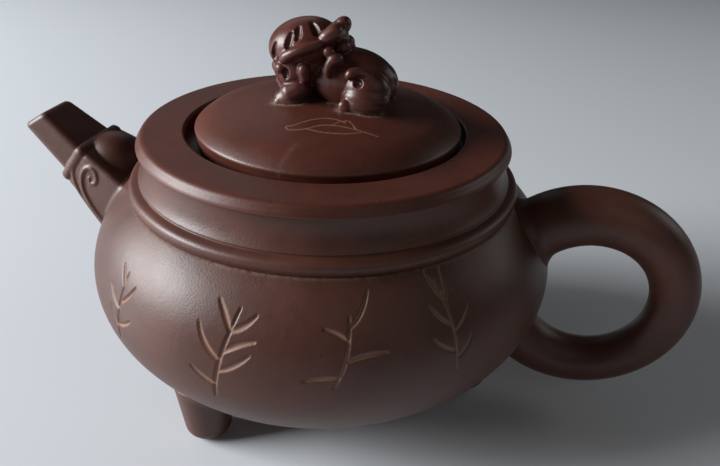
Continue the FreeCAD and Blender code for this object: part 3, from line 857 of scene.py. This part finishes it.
def make_lion(dome):
    """The crouching lion finial. It faces the spout; the near side is at negative Y."""
    # trunk, chest, head, muzzle, chin, nose and nape
    parts = [
        ball((5.6, 0.0, 79.3), (10.4, 6.3, 7.0), 3.0),
        ball((-2.6, 0.0, 80.0), (5.2, 3.8, 7.0)),
        ball((-4.6, 0.0, 83.8), (6.9, 6.1, 6.4)),
        ball((-8.4, 0.0, 81.0), (3.9, 4.0, 4.2)),
        ball((-7.8, 0.0, 77.8), (3.8, 4.4, 2.2)),
        ball((-11.2, 0.0, 80.9), (1.5, 2.2, 1.5)),
        ball((2.2, 0.0, 88.6), (2.6, 3.2, 2.6)),
    ]
    parts += both_sides(ball, (-6.2, 3.7, 80.9), (4.3, 2.9, 4.6))

    # the cap of hair: a smooth dome, parted into locks by grooves, over a thick brow
    cap_centre, cap_radii, cap_lean = np.array([-5.0, 0.0, 86.1]), (8.3, 7.2, 5.8), -14.0

    def on_cap(around, up, lift=0.0):
        """A point on the cap, from angles round from the front and up from its widest line."""
        a, u = math.radians(around), math.radians(up)
        out = np.array([-math.cos(u) * math.cos(a), math.cos(u) * math.sin(a), math.sin(u)])
        lean = np.array(Matrix.Rotation(math.radians(cap_lean), 3, "Y"))
        return cap_centre + lean @ (out * (np.array(cap_radii) + lift))

    parts.append(ball(cap_centre, cap_radii, cap_lean))
    brow = ((60, -18), (72, -9), (88, -2), (104, 2), (120, 3), (134, 4))
    parts += both_sides(limb, [on_cap(*at, 0.15) for at in brow], [0.9, 1.25, 1.2, 1.1, 1.0, 0.8])
    groove_radii = [0.5, 0.95, 0.8]
    partings = [((16, 24), (14, 4), (12, -18)), ((53, 26), (49, 8), (40, -14)),
                ((87, 44), (83, 26), (77, 6)), ((103, 54), (99, 38), (95, 20)),
                ((138, 58), (133, 38), (129, 20))]
    grooves = []
    for parting in partings:
        grooves += both_sides(limb, [on_cap(*at, 0.05) for at in parting], groove_radii, sides=12)

    # curls down the back of the neck and behind the cheeks
    for x, y, z, size in ((4.0, 2.0, 86.8, 1.8), (4.0, -2.0, 86.8, 1.8), (4.4, 0.0, 85.2, 2.0)):
        parts.append(ball((x, y, z), (size, size, size * 0.9)))
    parts += both_sides(ball, (1.9, 5.8, 86.3), (1.3, 1.1, 1.2))
    parts += both_sides(limb, [(4.6, 4.9, 84.2), (3.7, 5.8, 85.0), (2.6, 6.1, 84.2), (1.9, 6.2, 82.4),
                               (2.2, 6.1, 80.8)], [1.1, 1.4, 1.2, 1.0, 0.7])
    # ears, swept back
    parts += both_sides(limb, [(-0.6, 4.2, 88.2), (1.4, 4.2, 89.1), (3.0, 3.6, 90.2), (4.4, 3.1, 90.6)],
                        [1.3, 1.7, 1.9, 1.9])
    # eyes, cheeks, jaw
    parts += both_sides(ball, (-9.4, 3.2, 83.2), (1.1, 1.1, 0.9))
    parts += both_sides(limb, [(-8.6, 4.6, 83.4), (-6.4, 5.8, 83.6), (-3.4, 6.4, 84.6)],
                        [0.6, 0.8, 0.7])
    parts += both_sides(limb, [(-2.7, 6.0, 83.6), (-3.4, 6.3, 82.2), (-3.2, 6.1, 80.6),
                               (-3.5, 5.8, 79.0)], [0.9, 1.35, 1.2, 0.9])
    parts += both_sides(ball, (-8.8, 5.2, 81.75), (1.4, 1.3, 1.35))
    parts += both_sides(limb, [(-10.4, 1.6, 76.8), (-8.4, 4.1, 77.4), (-4.6, 5.6, 78.8)],
                        [0.8, 0.9, 1.0])
    # forelegs and paws
    parts += both_sides(limb, [(-2.6, 4.4, 78.6), (-5.2, 5.0, 77.0), (-7.6, 5.2, 75.6),
                               (-8.6, 5.1, 74.6)], [2.4, 2.6, 2.8, 2.4])
    parts += both_sides(ball, (-7.0, 5.2, 74.9), (3.6, 2.7, 2.7))
    for spread in (-1.6, 0.0, 1.6):
        parts += both_sides(ball, (-8.8, 5.2 + spread, 74.2), (1.5, 1.0, 1.6))
    # haunches, with a curl over the knee
    parts += both_sides(ball, (10.2, 4.5, 78.2), (5.2, 3.5, 4.7))
    parts += both_sides(limb, [(6.9, 6.9, 81.0), (6.9, 7.0, 82.2), (8.5, 6.5, 82.8), (10.4, 6.2, 82.4),
                               (12.0, 6.0, 81.0), (12.8, 6.0, 79.4)], [0.9, 1.25, 0.9, 0.8, 0.7, 0.5])
    parts += both_sides(ball, (9.8, 6.1, 75.6), (4.8, 2.8, 2.7))
    parts += both_sides(ball, (10.2, 5.3, 77.0), (5.2, 3.4, 3.2))
    for spread in (-1.5, 0.1, 1.7):
        parts += both_sides(ball, (6.2, 6.2 + spread, 75.2), (1.6, 1.0, 1.7))
    # tail laid up over the rump
    parts.append(limb([(13.2, 0.0, 75.5), (14.3, 0.0, 77.6), (14.4, 0.0, 80.0), (13.2, 0.0, 82.0)],
                      [1.5, 1.8, 1.8, 1.4]))

    # hollows behind the nostrils and inside the knee curls, the grooves, and the lid's dome
    hollows = both_sides(ball, (-7.5, 6.8, 81.0), (0.9, 1.3, 1.4))
    hollows += both_sides(ball, (8.7, 8.2, 80.7), (1.3, 1.9, 1.1))
    hollows += grooves
    dome_radius, sunk = 82.0, 0.5
    hollows.append(ball((*LID_CENTRE, LID_TOP - dome_radius - sunk), (dome_radius,) * 3))
    voxel = 0.2
    item = fused("lion_finial", parts, voxel, 2, hollows)
    rub_and_highlight_sculpted(item, voxel)
    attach(item, "lid")
    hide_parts(*[node for node in frame["nodes"] if node.startswith("lion_")])
    wear_round(dome, item)
    return item


def wear_round(dome, lion):
    """Pale clay dust where the lion stands on the lid, low in its folds, and in a scuff."""
    scuff_start, scuff_end, scuff_width, scuff_amount = (-0.4, -24.2), (-2.2, -30.3), 0.5, 0.13
    ring_width, fold_start, fold_height, fold_amount = 0.8, LID_TOP - 0.6, 0.5, 0.8
    lion_points = coordinates(lion)
    near_dome = lion_points[lion_points[:, 2] < LID_TOP + 0.4][::3]
    tree = KDTree(len(near_dome))
    for i, p in enumerate(near_dome):
        tree.insert(p, i)
    tree.balance()
    points = coordinates(dome)
    from_centre = points[:, :2] - LID_CENTRE
    start, end = np.array(scuff_start), np.array(scuff_end)
    along = np.clip((from_centre - start) @ (end - start) / ((end - start) @ (end - start)), 0, 1)
    off = np.linalg.norm(from_centre - start - along[:, None] * (end - start), axis=1)
    scuff = scuff_amount * np.exp(-(off / scuff_width) ** 2)
    pale = np.where(points[:, 2] > SEAT + 3, scuff, 0)
    around = (np.abs(points[:, 0]) < 20) & (np.abs(points[:, 1]) < 12) & (points[:, 2] > SEAT + 7)
    for i in np.nonzero(around)[0]:
        distance = tree.find(points[i])[2]
        pale[i] = max(pale[i], math.exp(-(distance / ring_width) ** 2))
    set_attribute(dome, "dusty", pale)
    height = np.maximum(lion_points[:, 2] - fold_start, 0)
    set_attribute(lion, "dusty", fold_amount * np.exp(-height / fold_height))


# Clay -------------------------------------------------------------------------------------------


def node_group(material):
    """A small helper for building a material's nodes."""
    tree = material.node_tree

    def add(kind, inputs=None, **settings):
        node = tree.nodes.new(kind)
        for key, val in settings.items():
            setattr(node, key, val)
        for key, val in (inputs or {}).items():
            if isinstance(val, bpy.types.NodeSocket):
                tree.links.new(val, node.inputs[key])
            else:
                node.inputs[key].default_value = val
        return node

    return add


def clay(name, colour, polish=0.0, groove=(0.27, 0.145, 0.095)):
    """Unglazed stoneware: a close, satin skin with fine specks, soft mottling and edges painted paler,
    part rubbed wear and part painted highlight.
    """
    material = bpy.data.materials.new(name)
    material.use_nodes = True
    tree = material.node_tree
    tree.nodes.clear()
    add = node_group(material)
    place = add("ShaderNodeTexCoord").outputs["Object"]

    def noise(scale, detail=3.0):
        """Cloudy noise; its features are about 1000 / scale millimetres wide."""
        return add("ShaderNodeTexNoise", {"Vector": place, "Scale": scale, "Detail": detail,
                                          "Roughness": 0.6}).outputs["Fac"]

    def ramp(value, low, high, reverse=False):
        """0 below low and 1 above high, or the other way round."""
        ends = {"To Min": 1.0, "To Max": 0.0} if reverse else {}
        return add("ShaderNodeMapRange", {"Value": value, "From Min": low, "From Max": high,
                                          **ends}).outputs["Result"]

    def mixed(factor, first, second):
        """A colour between two others."""
        node = add("ShaderNodeMix", data_type="RGBA")
        for socket, val in ((node.inputs[0], factor), (node.inputs[6], first), (node.inputs[7], second)):
            if isinstance(val, bpy.types.NodeSocket):
                tree.links.new(val, socket)
            else:
                socket.default_value = val
        return node.outputs[2]

    def maths(operation, first, second):
        """One step of arithmetic."""
        return add("ShaderNodeMath", {0: first, 1: second}, operation=operation).outputs[0]

    def shade(scale, shift=(0.0, 0.0, 0.0)):
        """The clay's own colour made lighter or darker, and shifted."""
        return tuple(c * scale + s for c, s in zip(colour, shift)) + (1.0,)

    def painted_on(name):
        """A number that a piece holds at each of its vertices."""
        return add("ShaderNodeAttribute", attribute_name=name).outputs["Fac"]

    def dots(scale, size, share):
        """Scattered dots: 1 inside a dot. share is how many of the cells have one."""
        cells = add("ShaderNodeTexVoronoi", {"Vector": place, "Scale": scale})
        pick = add("ShaderNodeSeparateColor", {"Color": cells.outputs["Color"]}).outputs["Red"]
        return maths("MULTIPLY", ramp(cells.outputs["Distance"], size * 0.6, size, True),
                     maths("LESS_THAN", pick, share))

    # colour: soft mottling, darker clouds, pale and dark specks, edges paler from rubbing and a painted
    # highlight, grooves and dust
    dust_colour = (0.30, 0.22, 0.17, 1.0)
    mottle, blotch = noise(55.0, 5.0), noise(420.0)
    base = mixed(ramp(mottle, 0.32, 0.68), shade(0.80), shade(1.2, (0.006, 0.0, 0.0)))
    base = mixed(maths("MULTIPLY", ramp(blotch, 0.45, 0.7), 0.35), base, shade(0.72))
    base = mixed(maths("MULTIPLY", dots(520.0, 0.12, 0.2), 0.4), base, shade(2.6, (0.03, 0.022, 0.014)))
    base = mixed(maths("MULTIPLY", dots(300.0, 0.12, 0.25), 0.7), base, shade(0.45))
    # outward edges lighter: rubbed wear, plus a painted highlight that draws the bright line along crisp
    # lips
    base = mixed(maths("MULTIPLY", painted_on("rubbed_and_highlight"), 0.3), base, shade(1.9, (0.01, 0.005, 0.0)))
    incised = painted_on("incised")
    base = mixed(maths("MULTIPLY", incised, 0.85), base, (*groove, 1.0))
    patchy = maths("MULTIPLY", painted_on("dusty"), ramp(noise(900.0), 0.3, 0.6))
    base = mixed(maths("MULTIPLY", patchy, 0.75), base, dust_colour)

    # gloss, rougher where the skin is broken, and a fine uneven surface
    rough = ramp(mottle, 0.3, 0.7)
    rough = maths("ADD", maths("MULTIPLY", rough, 0.09), 0.39 - polish)
    rough = maths("ADD", rough, maths("MULTIPLY", maths("ADD", incised, patchy), 0.25))
    peel = maths("MULTIPLY", noise(260.0, 1.0), 1.2)
    height = maths("ADD", peel, maths("MULTIPLY", noise(2300.0), 1.3))
    bump = add("ShaderNodeBump", {"Height": height, "Strength": 0.3 - polish, "Distance": 0.0001})
    shader = add("ShaderNodeBsdfPrincipled", {
        "Base Color": base, "Roughness": rough, "Normal": bump.outputs["Normal"],
        "IOR": 1.45, "Specular IOR Level": 0.5})
    add("ShaderNodeOutputMaterial", {"Surface": shader.outputs["BSDF"]})
    return material


def painted(item, material):
    """Give a piece its only material."""
    item.data.materials.clear()
    item.data.materials.append(material)


# Setting ----------------------------------------------------------------------------------------


def area_light(name, position, target, size, power, colour):
    """A soft rectangular light that faces a point."""
    light = bpy.data.lights.new(name, "AREA")
    light.shape = "RECTANGLE"
    light.size, light.size_y = size[0] * MM, size[1] * MM
    light.energy = power
    light.color = colour
    item = bpy.data.objects.new(name, light)
    item.location = Vector(position) * MM
    direction = Vector(target) - Vector(position)
    item.rotation_euler = direction.to_track_quat("-Z", "Y").to_euler()
    bpy.context.scene.collection.objects.link(item)


def make_floor():
    """A plain pale table top."""
    reach = 1500.0
    item = new_object("table_top", [(-reach, -reach, 0), (reach, -reach, 0), (reach, reach, 0),
                                    (-reach, reach, 0)], [[0, 1, 2, 3]])
    material = bpy.data.materials.new("table_paint")
    material.use_nodes = True
    shader = material.node_tree.nodes["Principled BSDF"]
    shader.inputs["Base Color"].default_value = (0.64, 0.67, 0.70, 1.0)
    shader.inputs["Roughness"].default_value = 0.45
    item.data.materials.append(material)


def make_lights():
    """A window low on the left, near enough that the table darkens to the right, in a dim room."""
    world = bpy.data.worlds.new("room")
    world.use_nodes = True
    background = world.node_tree.nodes["Background"]
    background.inputs["Color"].default_value = (0.50, 0.53, 0.56, 1.0)
    background.inputs["Strength"].default_value = 0.06
    bpy.context.scene.world = world
    target = (0, 0, 40)
    area_light("window", (-1000, -280, 445), target, (690, 470), 27.5, (0.96, 0.98, 1.0))
    area_light("window_back", (-260, 420, 360), target, (360, 260), 0.12, (0.93, 0.96, 1.0))
    area_light("room_fill", (420, -420, 420), target, (500, 500), 0.27, (1.0, 0.95, 0.9))
    area_light("room_right", (620, 330, 330), target, (420, 320), 0.55, (1.0, 0.97, 0.94))
    bpy.context.scene.view_settings.view_transform = "Standard"


def make_camera():
    """The viewpoint: a short distance off, looking down at the pot's front."""
    position = Vector((39.84, -148.70, 124.93))
    heading, down, roll = 11.73, 29.05, 2.18
    camera = bpy.data.cameras.new("camera")
    camera.lens = 35.0
    camera.sensor_width = 36.0
    camera.clip_start = 0.01
    item = bpy.data.objects.new("camera", camera)
    turn = (Matrix.Rotation(math.radians(heading), 4, "Z")
            @ Matrix.Rotation(math.radians(90 - down), 4, "X")
            @ Matrix.Rotation(math.radians(roll), 4, "Z"))
    item.matrix_world = Matrix.Translation(position * MM) @ turn
    bpy.context.scene.collection.objects.link(item)
    bpy.context.scene.camera = item


# Assembly ---------------------------------------------------------------------------------------

belly = make_belly()
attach(belly, "pot")
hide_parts("base_disc", "body_wall", "shoulder_disc")
neck = make_neck()
rim = make_rim()
lid_dome, lid_collar = make_lid()
handle = make_handle()
feet = make_feet()
spout = make_spout()
lion = make_lion(lid_dome)

body_clay = clay("zisha_body", (0.075, 0.026, 0.0165))
lid_clay = clay("zisha_lid", (0.075, 0.020, 0.0115), groove=(0.24, 0.10, 0.07))
lion_clay = clay("zisha_lion", (0.068, 0.018, 0.0125), polish=0.09)
painted(belly, body_clay)
painted(neck, body_clay)
painted(rim, lid_clay)
painted(lid_dome, lid_clay)
painted(lid_collar, lid_clay)
painted(handle, body_clay)
painted(spout, body_clay)
painted(lion, lion_clay)
for foot in feet:
    painted(foot, body_clay)
for node, item in frame["nodes"].items():
    painted(item, lid_clay if node.startswith("lion") else body_clay)

make_floor()
make_lights()
make_camera()
